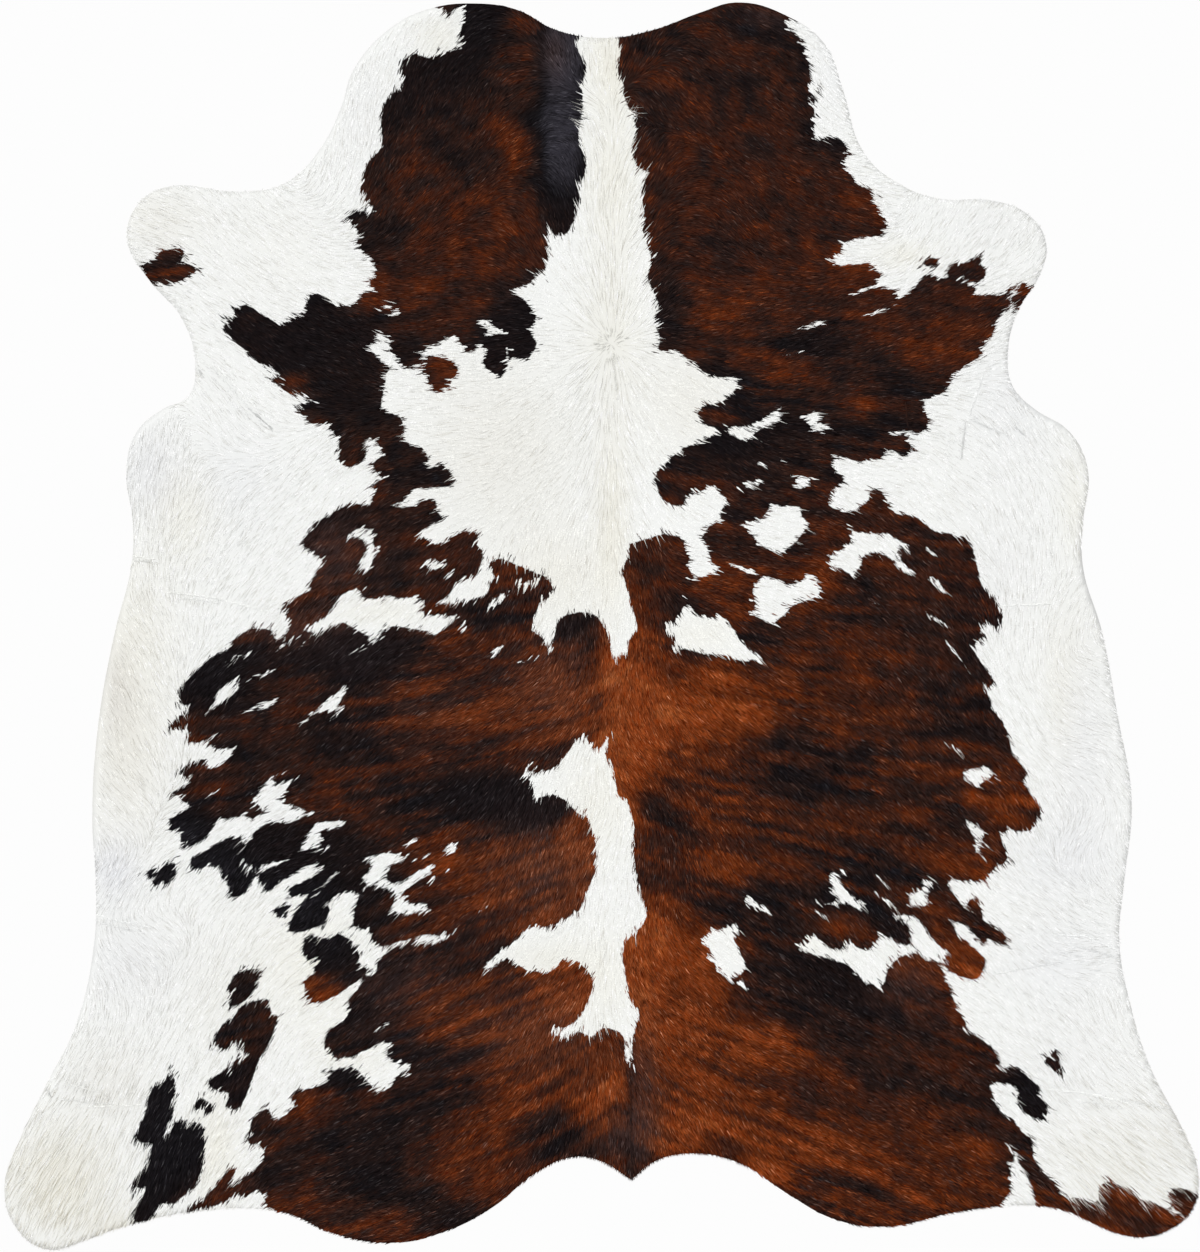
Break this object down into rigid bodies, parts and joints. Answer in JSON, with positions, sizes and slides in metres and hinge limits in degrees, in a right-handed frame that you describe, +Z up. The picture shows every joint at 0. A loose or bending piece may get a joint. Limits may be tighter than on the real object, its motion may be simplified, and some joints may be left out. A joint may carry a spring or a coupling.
{
  "type": "cowhide rug",
  "caption": "Whole hair-on cowhide floor rug lying flat, cut to the animal's outline, brindle brown and black patches on a white coat.",
  "frame": {"origin": "centre of the hide's outline box, on the floor under the skin side", "axes": "+Y along the spine towards the neck, +X to the viewer's right seen from above with the neck away, +Z up out of the coat"},
  "size_m": [2.1064, 2.2009, 0.005],
  "materials": {
    "coat": "short hair-on coat, white with brindle brown and black patches, low satin sheen along the lie of the hair",
    "skin": "pale suede flesh side and cut edge, matt"
  },
  "bodies": {
    "root": {"hide": "coat"}
  },
  "joints": []
}
